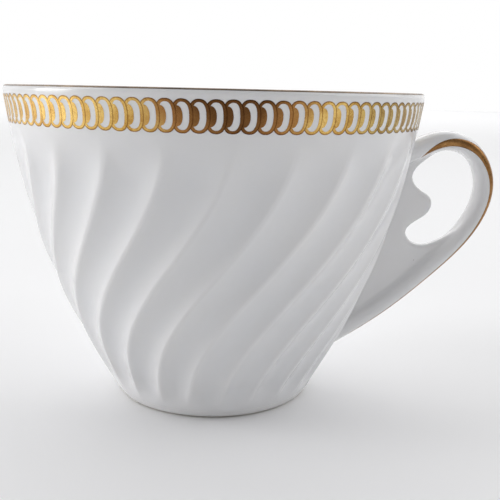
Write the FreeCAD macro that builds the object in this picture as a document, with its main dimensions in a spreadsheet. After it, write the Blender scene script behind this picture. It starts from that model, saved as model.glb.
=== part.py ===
import FreeCAD, Part
import math
import os
import Sketcher
from FreeCAD import Placement, Rotation, Vector

# A porcelain teacup: a fluted bowl on a low foot ring, a cast handle stuck on with slip, and
# three gold decorations. The frame's origin is on the cup's axis at the plane it stands on,
# +Z is up, +X points to the handle. All lengths are millimetres, all angles degrees.

doc = FreeCAD.newDocument("Teacup")
sheet = doc.addObject("Spreadsheet::Sheet", "Sizes")

sizes = [
    # bowl, outside
    ("rimRadius", 44.0, "outer radius at the lip"),
    ("cupHeight", 66.4, "standing plane to the top of the lip"),
    ("wallFootRadius", 22.5, "outer radius where the wall leaves the foot"),
    ("lowerPullRadius", 29.8, "radius of the wall curve's lower pole"),
    ("lowerPullHeight", 15.5, "height of the wall curve's lower pole"),
    ("upperPullRadius", 39.3, "radius of the wall curve's upper pole"),
    ("upperPullHeight", 30.7, "height of the wall curve's upper pole"),
    # flutes
    ("fluteCount", 24, "flutes round the bowl"),
    ("fluteDepth", 1.1, "depth of a flute at its middle"),
    ("fluteTwist", 45.5, "turn of a flute from top to foot"),
    ("fluteStart", 3.9, "angle of the first ridge from -Y, at the top"),
    ("plainBand", 7.3, "plain band under the lip, without flutes"),
    ("fluteFade", 9.0, "height over which a flute comes in at the top"),
    ("footFade", 6.0, "height over which it goes out above the foot"),
    # bowl, inside
    ("rimWall", 1.7, "wall at the lip"),
    ("footWall", 4.2, "wall low down, measured at a ridge"),
    ("floorThickness", 3.0, "floor of the bowl"),
    ("footHeight", 2.0, "height of the foot ring"),
    # foot ring
    ("footRadius", 20.4, "outer radius of the standing face"),
    ("footRingWidth", 2.6, "width of the standing face"),
    ("footInnerDraft", 0.8, "how much the ring widens inwards going up"),
    # handle
    ("handleTop", 53.4, "height of the strap's middle at its upper end"),
    ("handleFoot", 12.6, "height of the strap's middle at its lower end"),
    ("handleReach", 21.1, "reach of the strap's middle beyond the line of its ends"),
    ("strapThickness", 3.8, "strap, seen from the side"),
    ("strapWidthTop", 8.6, "strap across, at its top"),
    ("strapWidthLow", 6.6, "strap across, at its lower end"),
    ("webThickness", 2.6, "the flat web between strap and bowl"),
    ("seamThickness", 0.4, "slip between the handle and the bowl"),
    ("seamLip", 0.35, "how far the slip stands out round the handle"),
    # gold
    ("goldThickness", 0.06, "gold layer"),
    ("rimLineHeight", 0.55, "how far down the lip the rim line comes"),
    ("borderTop", 1.6, "top of the ring border below the lip"),
    ("borderHeight", 5.7, "height of the ring border"),
    ("handleLineWidth", 1.7, "widest part of the gold line on the handle"),
]
for row, (alias, value, note) in enumerate(sizes, start=1):
    sheet.set(f"A{row}", alias)
    sheet.set(f"B{row}", str(value))
    sheet.setAlias(f"B{row}", alias)
    sheet.set(f"C{row}", note)
doc.recompute()


def size(alias):
    return float(sheet.get(alias))


def addShape(name, shape):
    feature = doc.addObject("Part::Feature", name)
    feature.Shape = shape
    return feature


def bind(item, **pairs):
    for prop, expression in pairs.items():
        item.setExpression(prop, expression)


# ---- bowl ----------------------------------------------------------------------------------

axisUp = Vector(0, 0, 1)
bandFoot = size("cupHeight") - size("plainBand")
lipRound = size("rimWall") / 2
springLine = size("cupHeight") - lipRound


def wallCurve(offset=0.0):
    """The outer wall at the ridges, from the foot ring's top to the lip's round, moved out."""
    curve = Part.BezierCurve()
    curve.setPoles([
        Vector(size("wallFootRadius") + offset, 0, size("footHeight")),
        Vector(size("lowerPullRadius") + offset, 0, size("lowerPullHeight")),
        Vector(size("upperPullRadius") + offset, 0, size("upperPullHeight")),
        Vector(size("rimRadius") + offset, 0, springLine),
    ])
    return curve


def parameterAt(curve, height):
    """Where the wall curve passes a height, by halving."""
    low, high = 0.0, 1.0
    for step in range(48):
        middle = (low + high) / 2
        if curve.value(middle).z < height:
            low = middle
        else:
            high = middle
    return low if high < 1.0 else 1.0


def wallRadius(height, offset=0.0):
    curve = wallCurve(offset)
    return curve.value(parameterAt(curve, height)).x


def wallPiece(low, high, offset=0.0):
    """The stretch of the wall curve between two heights, as an edge."""
    curve = wallCurve(offset)
    return curve.toShape(parameterAt(curve, low), parameterAt(curve, high))


def smooth(value):
    value = min(max(value, 0.0), 1.0)
    return value * value * (3 - 2 * value)


def fluteDepthAt(height):
    comingIn = smooth((bandFoot - height) / size("fluteFade"))
    goingOut = smooth((height - size("footHeight")) / size("footFade"))
    return size("fluteDepth") * comingIn * goingOut


def fluteTurnAt(height):
    down = (bandFoot - height) / bandFoot
    return size("fluteTwist") * (1 - math.cos(math.pi * min(max(down, 0.0), 1.0))) / 2


def polar(radius, angle, height):
    """A point at an angle counted from -Y towards +X."""
    turn = math.radians(angle)
    return Vector(radius * math.sin(turn), -radius * math.cos(turn), height)


def fluteSection(height, offset):
    """One closed outline of the bowl: an arc in each flute, a corner at each ridge."""
    ridge = wallRadius(height, offset)
    valley = ridge - fluteDepthAt(height)
    count = int(size("fluteCount"))
    pitch = 360 / count
    start = size("fluteStart") - fluteTurnAt(height)
    arcs = []
    for flute in range(count):
        first = start + flute * pitch
        arcs.append(Part.Arc(
            polar(ridge, first, height),
            polar(valley, first + pitch / 2, height),
            polar(ridge, first + pitch, height)).toShape())
    return Part.Wire(arcs)


def flutedSkin(offset=0.0):
    """Everything inside the fluted outer surface, from the foot ring's top to the plain band."""
    low = size("footHeight")
    sectionCount = 17
    span = bandFoot - low
    # sections crowd towards both ends, where the flutes come in and go out
    heights = [low + span * (1 - math.cos(math.pi * n / (sectionCount - 1))) / 2
               for n in range(sectionCount)]
    return Part.makeLoft([fluteSection(height, offset) for height in heights], True, False)


def lipProfile():
    """Half section of the plain band, up to the round of the lip."""
    edge = wallPiece(bandFoot, springLine)
    outer = Vector(size("rimRadius"), 0, springLine)
    inner = Vector(size("rimRadius") - size("rimWall"), 0, springLine)
    crown = Vector(size("rimRadius") - lipRound, 0, size("cupHeight"))
    foot = Vector(0, 0, bandFoot)
    return Part.Face(Part.Wire([
        edge,
        Part.Arc(outer, crown, inner).toShape(),
        Part.makeLine(inner, Vector(0, 0, springLine)),
        Part.makeLine(Vector(0, 0, springLine), foot),
        Part.makeLine(foot, edge.valueAt(edge.FirstParameter)),
    ]))


def hollowProfile():
    """Half section of the space inside, one smooth curve from the floor's middle to the lip."""
    lipRadius = size("rimRadius") - size("rimWall")
    floor = size("footHeight") + size("floorThickness")
    lowRadius = size("lowerPullRadius") - size("footWall")
    inside = Part.BSplineCurve()
    inside.buildFromPolesMultsKnots(
        [Vector(0, 0, floor),
         Vector(size("wallFootRadius") - size("footWall"), 0, floor),
         Vector(lowRadius, 0, (floor + size("lowerPullHeight")) / 2),
         Vector(size("upperPullRadius") - size("footWall") + 1.0, 0, size("upperPullHeight") + 1.5),
         Vector(lipRadius, 0, springLine)],
        [4, 1, 4], [0.0, 0.45, 1.0], False, 3)
    above = springLine + size("rimWall") * 2
    return Part.Face(Part.Wire([
        inside.toShape(),
        Part.makeLine(Vector(lipRadius, 0, springLine), Vector(lipRadius, 0, above)),
        Part.makeLine(Vector(lipRadius, 0, above), Vector(0, 0, above)),
        Part.makeLine(Vector(0, 0, above), Vector(0, 0, floor)),
    ]))


def revolved(name, profile):
    source = addShape(name + "_profile", profile)
    turned = doc.addObject("Part::Revolution", name)
    turned.Source = source
    turned.Axis = axisUp
    turned.Angle = 360
    turned.Solid = True
    return turned


def makeBowl():
    skin = addShape("fluted_skin", flutedSkin())
    lip = revolved("lip_band", lipProfile())
    blank = doc.addObject("Part::MultiFuse", "bowl_blank")
    blank.Shapes = [skin, lip]
    hollow = revolved("bowl_hollow", hollowProfile())
    bowl = doc.addObject("Part::Cut", "cup_bowl")
    bowl.Base = blank
    bowl.Tool = hollow
    return bowl


# ---- foot ring -----------------------------------------------------------------------------

def newSketch(body, name):
    """A sketch on the body's own XZ plane: its x is the radius, its y is the height."""
    sketch = body.newObject("Sketcher::SketchObject", name)
    upright = [item for item in body.Origin.OriginFeatures if item.Role == "XZ_Plane"][0]
    sketch.AttachmentSupport = [(upright, "")]
    sketch.MapMode = "FlatFace"
    return sketch


def addLoop(sketch, pieces):
    """Draws edges end to end as one closed loop and ties each end to the next start."""
    for piece in pieces:
        sketch.addGeometry(piece, False)
    count = len(pieces)
    for n in range(count):
        sketch.addConstraint(Sketcher.Constraint("Coincident", n, 2, (n + 1) % count, 1))


def addDimensions(sketch, rows):
    for name, kind, points, value, expression in rows:
        index = sketch.addConstraint(Sketcher.Constraint(kind, *points, value))
        sketch.renameConstraint(index, name)
        sketch.setExpression("Constraints." + name, expression)
    doc.recompute()


def spin(body, sketch, name):
    turn = body.newObject("PartDesign::Revolution", name)
    turn.Profile = sketch
    turn.ReferenceAxis = (sketch, ["V_Axis"])
    turn.Angle = 360
    doc.recompute()


def makeFootRing():
    body = doc.addObject("PartDesign::Body", "foot_ring")
    sketch = newSketch(body, "foot_section")
    inner = size("footRadius") - size("footRingWidth")
    top = size("footHeight")
    corners = [
        Vector(inner, 0, 0),
        Vector(size("footRadius"), 0, 0),
        Vector(size("wallFootRadius"), top, 0),
        Vector(inner - size("footInnerDraft"), top, 0),
    ]
    addLoop(sketch, [Part.LineSegment(corners[n], corners[(n + 1) % 4]) for n in range(4)])
    sketch.addConstraint(Sketcher.Constraint("PointOnObject", 0, 1, -1))
    sketch.addConstraint(Sketcher.Constraint("Horizontal", 0))
    sketch.addConstraint(Sketcher.Constraint("Horizontal", 2))
    origin = (-1, 1)
    addDimensions(sketch, [
        ("standingRadius", "DistanceX", (*origin, 0, 2), size("footRadius"), "Sizes.footRadius"),
        ("standingWidth", "DistanceX", (0, 1, 0, 2), size("footRingWidth"), "Sizes.footRingWidth"),
        ("topRadius", "DistanceX", (*origin, 2, 1), size("wallFootRadius"), "Sizes.wallFootRadius"),
        ("ringHeight", "DistanceY", (*origin, 2, 1), top, "Sizes.footHeight"),
        ("draft", "DistanceX", (3, 1, 0, 1), size("footInnerDraft"), "Sizes.footInnerDraft"),
    ])
    spin(body, sketch, "foot_turn")
    return body


# ---- handle --------------------------------------------------------------------------------

def spot(rise, reach):
    """A point of the handle: rise runs 0 to 1 between its two ends on the wall, reach outwards."""
    low = Vector(wallRadius(size("handleFoot")), 0, size("handleFoot"))
    high = Vector(wallRadius(size("handleTop")), 0, size("handleTop"))
    return low + (high - low) * rise + Vector(size("handleReach") * reach, 0, 0)


# middle of the strap, from inside the wall low down, round the back, into the wall at the top
strapRoute = [
    (-0.09, -0.19), (0.157, 0.372), (0.385, 0.732), (0.583, 0.958), (0.831, 0.97),
    (0.941, 0.85), (1.027, 0.67), (1.074, 0.388), (1.02, 0.08), (0.92, -0.22),
]

# free edge of the web: from the strap at the top, round the nose, back to the strap
webEdge = [
    (1.07, 0.36), (0.98, 0.26), (0.934, 0.187), (0.877, 0.171), (0.804, 0.312), (0.76, 0.452),
    (0.733, 0.487), (0.669, 0.477), (0.625, 0.383), (0.569, 0.335), (0.522, 0.416),
    (0.5, 0.575), (0.559, 0.822), (0.6, 0.97),
]


def splineThrough(points):
    curve = Part.BSplineCurve()
    curve.interpolate(points)
    return curve


def strapPath():
    return splineThrough([spot(*place) for place in strapRoute])


def pathFrame(path, share):
    """Centre, direction along the strap and direction out of its back, at a share of the path."""
    first, last = path.FirstParameter, path.LastParameter
    at = first + (last - first) * share
    along = path.tangent(at)[0].normalize()
    outwards = Vector(along.z, 0, -along.x)
    return path.value(at), along, outwards


def makeStrap(name, grow):
    """A loft through ellipses bound to the sheet, wider at the top than at the foot."""
    path = strapPath()
    sectionCount = 19
    sections = []
    for n in range(sectionCount):
        share = n / (sectionCount - 1)
        centre, along, outwards = pathFrame(path, share)
        section = doc.addObject("Part::Ellipse", f"{name}_section_{n}")
        across = outwards.cross(along)
        section.Placement = Placement(centre, Rotation(across, outwards, along, "XYZ"))
        width = f"Sizes.strapWidthLow * {1 - share:.4f} + Sizes.strapWidthTop * {share:.4f}"
        bind(section,
             MajorRadius=f"({width}) / 2 + {grow}",
             MinorRadius=f"Sizes.strapThickness / 2 + {grow}")
        sections.append(section)
    strap = doc.addObject("Part::Loft", name)
    strap.Sections = sections
    strap.Solid = True
    strap.Ruled = False
    return strap


def webFace():
    """The web's outline: the strap's middle outside, a straight line inside the wall, one opening."""
    path = strapPath()
    ends = [path.value(path.LastParameter), path.value(path.FirstParameter)]
    plate = Part.Face(Part.Wire([path.toShape(), Part.makeLine(*ends)]))
    edge = [spot(*place) for place in webEdge]
    inStrap = [spot(*place) for place in strapRoute[4:8]]
    rest = Part.makePolygon([edge[-1]] + inStrap + [edge[0]])
    opening = Part.Face(Part.Wire([splineThrough(edge).toShape()] + rest.Edges))
    return plate.cut(opening)


def makeWeb(name, grow):
    outline = addShape(name + "_outline", webFace())
    web = doc.addObject("Part::Extrusion", name)
    web.Base = outline
    web.Dir = Vector(0, 1, 0)
    web.DirMode = "Custom"
    web.Solid = True
    web.Symmetric = True
    bind(web, LengthFwd=f"Sizes.webThickness + 2 * {grow}")
    return web


def makeHandleBlank(name, grow):
    strap = makeStrap(name + "_strap", grow)
    web = makeWeb(name + "_web", grow)
    blank = doc.addObject("Part::MultiFuse", name)
    blank.Shapes = [strap, web]
    return blank


def makeHandle(outerSkin):
    blank = makeHandleBlank("handle_blank", "0")
    handle = doc.addObject("Part::Cut", "cup_handle")
    handle.Base = blank
    handle.Tool = outerSkin
    return handle


def makeSeam(outerSkin, innerSkin):
    """The slip fills the gap between the casting and the fluted wall and stands out round it."""
    layer = doc.addObject("Part::Cut", "slip_layer")
    layer.Base = outerSkin
    layer.Tool = innerSkin
    blank = makeHandleBlank("seam_blank", "Sizes.seamLip")
    seam = doc.addObject("Part::MultiCommon", "handle_luting_seam")
    seam.Shapes = [blank, layer]
    return seam


# ---- gold ----------------------------------------------------------------------------------

def makeRimLine():
    """A thin crescent over the crown of the lip."""
    body = doc.addObject("PartDesign::Body", "gold_rim_line")
    sketch = newSketch(body, "rim_line_section")
    centre = Vector(size("rimRadius") - lipRound, springLine, 0)
    lower = lipRound - size("rimLineHeight")
    ends = []
    for radius in (lipRound, lipRound + size("goldThickness")):
        ends.append(math.asin(lower / radius))
    inner = Part.Circle(centre, Vector(0, 0, 1), lipRound)
    outer = Part.Circle(centre, Vector(0, 0, 1), lipRound + size("goldThickness"))
    innerArc = Part.ArcOfCircle(inner, ends[0], math.pi - ends[0])
    outerArc = Part.ArcOfCircle(outer, ends[1], math.pi - ends[1])
    left = Part.LineSegment(innerArc.EndPoint, outerArc.EndPoint)
    right = Part.LineSegment(innerArc.StartPoint, outerArc.StartPoint)
    for piece in (innerArc, left, outerArc, right):
        sketch.addGeometry(piece, False)
    for pair in ((0, 2, 1, 1), (1, 2, 2, 2), (2, 1, 3, 2), (3, 1, 0, 1), (0, 3, 2, 3)):
        sketch.addConstraint(Sketcher.Constraint("Coincident", *pair))
    sketch.addConstraint(Sketcher.Constraint("Horizontal", 1))
    sketch.addConstraint(Sketcher.Constraint("Horizontal", 3))
    origin = (-1, 1)
    edgeHeight = size("cupHeight") - size("rimLineHeight")
    addDimensions(sketch, [
        ("lipRound", "Radius", (0,), lipRound, "Sizes.rimWall / 2"),
        ("goldRound", "Radius", (2,), lipRound + size("goldThickness"),
         "Sizes.rimWall / 2 + Sizes.goldThickness"),
        ("lipCentre", "DistanceX", (*origin, 0, 3), centre.x, "Sizes.rimRadius - Sizes.rimWall / 2"),
        ("springLine", "DistanceY", (*origin, 0, 3), springLine, "Sizes.cupHeight - Sizes.rimWall / 2"),
        ("outerEdge", "DistanceY", (*origin, 3, 1), edgeHeight,
         "Sizes.cupHeight - Sizes.rimLineHeight"),
        ("innerEdge", "DistanceY", (*origin, 1, 1), edgeHeight,
         "Sizes.cupHeight - Sizes.rimLineHeight"),
    ])
    spin(body, sketch, "rim_line_turn")
    return body


def makeRingBorder():
    """The band that the transfer of rings covers, a layer that follows the plain band."""
    top = size("cupHeight") - size("borderTop")
    foot = top - size("borderHeight")
    inner = wallPiece(foot, top)
    outer = wallPiece(foot, top, size("goldThickness"))
    profile = Part.Face(Part.Wire([
        inner,
        Part.makeLine(inner.valueAt(inner.LastParameter), outer.valueAt(outer.LastParameter)),
        outer,
        Part.makeLine(outer.valueAt(outer.FirstParameter), inner.valueAt(inner.FirstParameter)),
    ]))
    return revolved("gold_ring_border", profile)


def strokeRegion(stations):
    """The space round the strap that one gold stroke takes up. Each station is a share of the
    strap's path, an angle round its section counted from the back towards +Y, and a share of the
    stroke's full width. The section there is a four-cornered wedge that straddles the surface."""
    path = strapPath()
    wires = []
    for share, angle, fullness in stations:
        centre, along, outwards = pathFrame(path, share)
        halfWidth = (size("strapWidthLow") * (1 - share) + size("strapWidthTop") * share) / 2
        halfDepth = size("strapThickness") / 2
        turn = math.radians(angle)
        reach = math.hypot(halfDepth * math.sin(turn), halfWidth * math.cos(turn))
        spread = size("handleLineWidth") * fullness / 2 / reach
        corners = []
        for scale, edge in ((0.6, -spread), (1.4, -spread), (1.4, spread), (0.6, spread)):
            depth = halfDepth * scale * math.cos(turn + edge)
            side = halfWidth * scale * math.sin(turn + edge)
            corners.append(centre + outwards * depth + Vector(0, side, 0))
        wires.append(Part.makePolygon(corners + corners[:1]))
    return Part.makeLoft(wires, True, False)


def makeHandleLine(handle):
    """Two matching lines, one along each edge of the strap's back. Each leaves the strap's foot
    thin, swells up the back and crosses the flank at the top to end in a point."""
    course = [(0.10, 46, 0.12), (0.18, 46, 0.3), (0.30, 48, 0.4), (0.40, 50, 0.53), (0.50, 54, 0.76),
              (0.58, 58, 0.94), (0.65, 64, 1.0), (0.70, 72, 1.0), (0.76, 84, 1.0), (0.82, 98, 0.94),
              (0.865, 115, 0.65), (0.895, 134, 0.12)]
    regions = []
    for name, sign in (("handle_line_left", 1), ("handle_line_right", -1)):
        shape = strokeRegion([(share, sign * angle, fullness) for share, angle, fullness in course])
        regions.append(addShape(name, shape))
    gilded = makeStrap("gilded_strap", "Sizes.goldThickness")
    doc.recompute()
    region = doc.addObject("Part::MultiFuse", "handle_line_region")
    region.Shapes = regions
    doc.recompute()
    blank = doc.addObject("Part::MultiCommon", "handle_line_blank")
    blank.Shapes = [gilded, region]
    doc.recompute()
    line = doc.addObject("Part::Cut", "gold_handle_line")
    line.Base = blank
    line.Tool = handle
    return line


# ---- build, check and write ----------------------------------------------------------------

bowl = makeBowl()
footRing = makeFootRing()
innerSkin = addShape("skin_at_wall", flutedSkin())
outerSkin = addShape("skin_over_slip", flutedSkin(size("seamThickness")))
handle = makeHandle(outerSkin)
seam = makeSeam(outerSkin, innerSkin)
rimLine = makeRimLine()
ringBorder = makeRingBorder()
handleLine = makeHandleLine(handle)
pieces = [bowl, footRing, handle, seam, rimLine, ringBorder, handleLine]
doc.recompute()

for item in doc.Objects:
    bad = [state for state in item.State if state in ("Invalid", "Error")]
    if bad:
        raise RuntimeError(f"{item.Name} did not rebuild: {item.State}")
for piece in pieces:
    if piece.Shape.isNull() or not piece.Shape.isValid():
        raise RuntimeError(f"{piece.Label} has no valid shape")

os.makedirs("parts", exist_ok=True)
for piece in pieces:
    piece.Shape.exportStep(f"parts/{piece.Label}.step")
    print(piece.Label, "solids", len(piece.Shape.Solids), "volume", round(piece.Shape.Volume, 1))
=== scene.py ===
import bpy
import math
import numpy as np
from mathutils import Matrix, Vector


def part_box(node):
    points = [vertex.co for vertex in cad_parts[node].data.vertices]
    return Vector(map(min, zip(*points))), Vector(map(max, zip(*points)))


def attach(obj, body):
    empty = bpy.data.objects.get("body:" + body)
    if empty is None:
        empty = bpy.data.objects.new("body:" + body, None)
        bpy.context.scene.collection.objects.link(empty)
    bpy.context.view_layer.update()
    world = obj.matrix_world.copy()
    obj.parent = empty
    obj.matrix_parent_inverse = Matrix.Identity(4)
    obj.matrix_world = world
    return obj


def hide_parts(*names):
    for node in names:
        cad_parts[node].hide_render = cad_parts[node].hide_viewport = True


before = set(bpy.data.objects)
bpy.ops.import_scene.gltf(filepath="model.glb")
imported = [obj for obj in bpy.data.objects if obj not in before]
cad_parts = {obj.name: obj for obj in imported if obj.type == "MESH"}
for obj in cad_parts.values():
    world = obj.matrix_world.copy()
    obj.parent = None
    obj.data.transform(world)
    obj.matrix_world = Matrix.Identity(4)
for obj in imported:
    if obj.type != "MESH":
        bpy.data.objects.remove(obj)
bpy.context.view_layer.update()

mm = 0.001
scene = bpy.context.scene

bowlLow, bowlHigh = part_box("cup_bowl")
handleLow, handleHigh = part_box("cup_handle")
borderLow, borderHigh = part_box("gold_ring_border")

rimRadius = -bowlLow.x           # the handle is on the +X side, so -X shows the bare rim
cupHeight = bowlHigh.z
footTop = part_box("foot_ring")[1].z


def newObject(name, mesh):
    piece = bpy.data.objects.new(name, mesh)
    scene.collection.objects.link(piece)
    return piece


def meshFrom(name, points, faces, smooth=True):
    mesh = bpy.data.meshes.new(name)
    mesh.from_pydata([tuple(p) for p in points], [], [tuple(f) for f in faces])
    mesh.validate()
    mesh.polygons.foreach_set("use_smooth", [smooth] * len(mesh.polygons))
    mesh.calc_loop_triangles()
    faceOutwards(mesh)
    return mesh


def faceOutwards(mesh):
    corners = np.empty(len(mesh.loop_triangles) * 3, np.int32)
    mesh.loop_triangles.foreach_get("vertices", corners)
    points = np.empty(len(mesh.vertices) * 3)
    mesh.vertices.foreach_get("co", points)
    a, b, c = (points.reshape(-1, 3)[corners.reshape(-1, 3)[:, n]] for n in range(3))
    if (a * np.cross(b, c)).sum() < 0:
        mesh.flip_normals()
    mesh.update()


def applyTree(piece, tree, values):
    # runs a Geometry Nodes tree once and keeps the plain mesh
    modifier = piece.modifiers.new(tree.name, "NODES")
    modifier.node_group = tree
    for socket in tree.interface.items_tree:
        if socket.item_type == "SOCKET" and socket.in_out == "INPUT" and socket.name in values:
            modifier[socket.identifier] = values[socket.name]
    bpy.context.view_layer.update()
    result = bpy.data.meshes.new_from_object(piece.evaluated_get(bpy.context.evaluated_depsgraph_get()))
    piece.modifiers.clear()
    old = piece.data
    piece.data = result
    bpy.data.meshes.remove(old)
    result.name = piece.name
    return result


class Nodes:
    # short names for wiring a node tree
    def __init__(self, tree):
        self.tree = tree

    def add(self, kind, given=None, **props):
        # given holds inputs by name, each a value or another node's output
        node = self.tree.nodes.new(kind)
        for key, value in props.items():
            setattr(node, key, value)
        self.fill(node, given or {})
        return node

    def fill(self, node, given):
        for name, value in given.items():
            self.put(node.inputs[name], value)

    def put(self, socket, value):
        if isinstance(value, bpy.types.NodeSocket):
            self.tree.links.new(value, socket)
        else:
            socket.default_value = value

    def math(self, operation, *values):
        node = self.add("ShaderNodeMath", operation=operation)
        for socket, value in zip(node.inputs, values):
            self.put(socket, value)
        return node.outputs[0]

    def split(self, vector):
        node = self.add("ShaderNodeSeparateXYZ")
        self.put(node.inputs[0], vector)
        return node.outputs

    def join(self, *parts):
        node = self.add("ShaderNodeCombineXYZ")
        for socket, part in zip(node.inputs, parts):
            self.put(socket, part)
        return node.outputs[0]

    def aroundAxis(self, radius, angle, height):
        # a place given by its angle from -Y towards +X
        m = self.math
        return self.join(m("MULTIPLY", radius, m("SINE", angle)),
                         m("MULTIPLY", radius, m("MULTIPLY", m("COSINE", angle), -1.0)), height)

    def position(self):
        return self.add("GeometryNodeInputPosition").outputs[0]

    def keep(self, geometry, name, value, kind="FLOAT"):
        # stores an attribute on a mesh's points
        given = {"Geometry": geometry, "Name": name, "Value": value}
        node = self.add("GeometryNodeStoreNamedAttribute", given, data_type=kind, domain="POINT")
        return node.outputs["Geometry"]

    def move(self, geometry, place):
        return self.add("GeometryNodeSetPosition", {"Geometry": geometry, "Position": place}).outputs[0]

    def smoothStep(self, value, low, high, toLow=0.0, toHigh=1.0):
        return self.add("ShaderNodeMapRange", {
            "Value": value, "From Min": low, "From Max": high, "To Min": toLow, "To Max": toHigh},
            interpolation_type="SMOOTHSTEP").outputs[0]


def geometryTree(name, sizes, counts=()):
    tree = bpy.data.node_groups.new(name, "GeometryNodeTree")
    for labels, kind in ((["Geometry"], "Geometry"), (sizes, "Float"), (counts, "Int"),
                         (["Material"], "Material")):
        for label in labels:
            tree.interface.new_socket(label, in_out="INPUT", socket_type="NodeSocket" + kind)
    tree.interface.new_socket("Geometry", in_out="OUTPUT", socket_type="NodeSocketGeometry")
    wires = Nodes(tree)
    start = wires.add("NodeGroupInput")
    end = wires.add("NodeGroupOutput")
    return tree, wires, start.outputs, end.inputs


def finishTree(wires, geometry, material, out):
    # each tree ends this way, because an export keeps no instances
    whole = wires.add("GeometryNodeRealizeInstances", {"Geometry": geometry}).outputs[0]
    painted = wires.add("GeometryNodeSetMaterial", {"Geometry": whole, "Material": material})
    wires.put(out["Geometry"], painted.outputs[0])


def newMaterial(name):
    material = bpy.data.materials.new(name)
    material.use_nodes = True
    wires = Nodes(material.node_tree)
    shader = material.node_tree.nodes["Principled BSDF"]
    coords = wires.add("ShaderNodeTexCoord").outputs["Object"]
    return material, wires, shader, coords


def noise(wires, coords, scale, detail=2.0, roughness=0.5):
    return wires.add("ShaderNodeTexNoise", {
        "Vector": coords, "Scale": scale, "Detail": detail, "Roughness": roughness}).outputs["Fac"]


def mixColour(wires, blend, factor, first, second):
    node = wires.add("ShaderNodeMix", data_type="RGBA", blend_type=blend)
    wires.put(node.inputs[0], factor)
    for socket, value in ((node.inputs[6], first), (node.inputs[7], second)):
        wires.put(socket, value if isinstance(value, bpy.types.NodeSocket) else (*value, 1.0))
    return node.outputs[2]


def bump(wires, height, distance, strength=1.0, under=None):
    given = {"Height": height, "Distance": distance, "Strength": strength}
    if under is not None:
        given["Normal"] = under
    return wires.add("ShaderNodeBump", given).outputs["Normal"]


glaze = {
    "white": (0.80, 0.797, 0.80),
    "cool": (0.752, 0.762, 0.785),      # where glaze pools
    "roughness": 0.20,
    "polish": (-0.04, 0.07),            # how far wiping and use move the roughness
    "cloudSize": 38.0,                  # noise scales: faint clouds in the white
    "wearSize": 95.0,                   # patches of more and less polish
    "rippleSize": 260.0,                # the slow ripple in the glaze
    "peelSize": 1500.0,                 # and the fine orange peel
    "rippleHeight": 0.05 * mm,
    "peelHeight": 0.004 * mm,
    "specks": (0.33, 0.27, 0.21),       # a few pinpoint iron specks, as every plain white cup has
    "speckSpacing": 420.0,
    "speckWidth": 0.055,
    "speckRarity": 0.988,
    "speckStrength": 0.55,
    "poolStrength": 0.35,
    "shader": {
        "IOR": 1.5, "Subsurface Weight": 0.12, "Subsurface Radius": (1.0, 0.95, 0.85),
        "Subsurface Scale": 1.2 * mm, "Coat Weight": 0.35, "Coat Roughness": 0.08},
}


def glazedPorcelain(name, pooling=None):
    material, wires, shader, coords = newMaterial(name)
    cloud = noise(wires, coords, glaze["cloudSize"], 3.0)
    clouded = mixColour(wires, "MIX", wires.smoothStep(cloud, 0.35, 0.7, 0.0, 0.35),
                        glaze["white"], glaze["cool"])
    if pooling:
        pooled = wires.add("ShaderNodeAttribute", attribute_name=pooling).outputs["Fac"]
        clouded = mixColour(wires, "MIX", wires.math("MULTIPLY", pooled, glaze["poolStrength"]),
                            clouded, glaze["cool"])
    cells = wires.add("ShaderNodeTexVoronoi", {"Vector": coords, "Scale": glaze["speckSpacing"]})
    near = wires.math("LESS_THAN", cells.outputs["Distance"], glaze["speckWidth"])
    split = wires.add("ShaderNodeSeparateColor", {"Color": cells.outputs["Color"]})
    chosen = wires.math("GREATER_THAN", split.outputs[0], glaze["speckRarity"])
    speck = wires.math("MULTIPLY", wires.math("MULTIPLY", near, chosen), glaze["speckStrength"])
    variation = noise(wires, coords, glaze["wearSize"], 4.0, 0.6)
    smoothest, roughest = (glaze["roughness"] + change for change in glaze["polish"])
    ripple = bump(wires, noise(wires, coords, glaze["rippleSize"], 2.0), glaze["rippleHeight"], 0.5)
    peel = bump(wires, noise(wires, coords, glaze["peelSize"], 1.0), glaze["peelHeight"], 0.5, ripple)
    wires.fill(shader, {"Base Color": mixColour(wires, "MIX", speck, clouded, glaze["specks"]),
                        "Roughness": wires.smoothStep(variation, 0.3, 0.75, smoothest, roughest),
                        "Normal": peel, **glaze["shader"]})
    return material


gold = {
    "bright": (0.86, 0.60, 0.20),
    "deep": (0.62, 0.37, 0.10),
    "roughness": 0.24,
    "mottle": (0.66, 0.50, 0.34),
    "mottleStrength": 0.6,
    "patchSize": 240.0,       # noise scale of the brighter and deeper patches
    "grainSize": 2600.0,      # and of the burnished grain
    "grainHeight": 0.02 * mm,
}


def burnishedGold(name, values=gold, variation=None):
    # values gives this line's own bright and deep colours and roughness
    material, wires, shader, coords = newMaterial(name)
    patches = noise(wires, coords, gold["patchSize"], 4.0, 0.6)
    colour = mixColour(wires, "MIX", wires.smoothStep(patches, 0.3, 0.7), values["bright"], values["deep"])
    grain = noise(wires, coords, gold["grainSize"], 3.0, 0.65)
    mottle = wires.smoothStep(grain, 0.48, 0.70, 0.0, gold["mottleStrength"])
    colour = mixColour(wires, "MULTIPLY", mottle, colour, gold["mottle"])
    # where the border's painted reflection and printed outlines go on
    if variation:
        colour = variation(wires, coords, patches, colour)
    matt = wires.smoothStep(grain, 0.25, 0.8, values["roughness"] - 0.05, values["roughness"] + 0.16)
    wires.fill(shader, {"Base Color": colour, "Roughness": matt, "Metallic": 1.0,
                        "Normal": bump(wires, grain, gold["grainHeight"], 0.6)})
    return material


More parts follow.
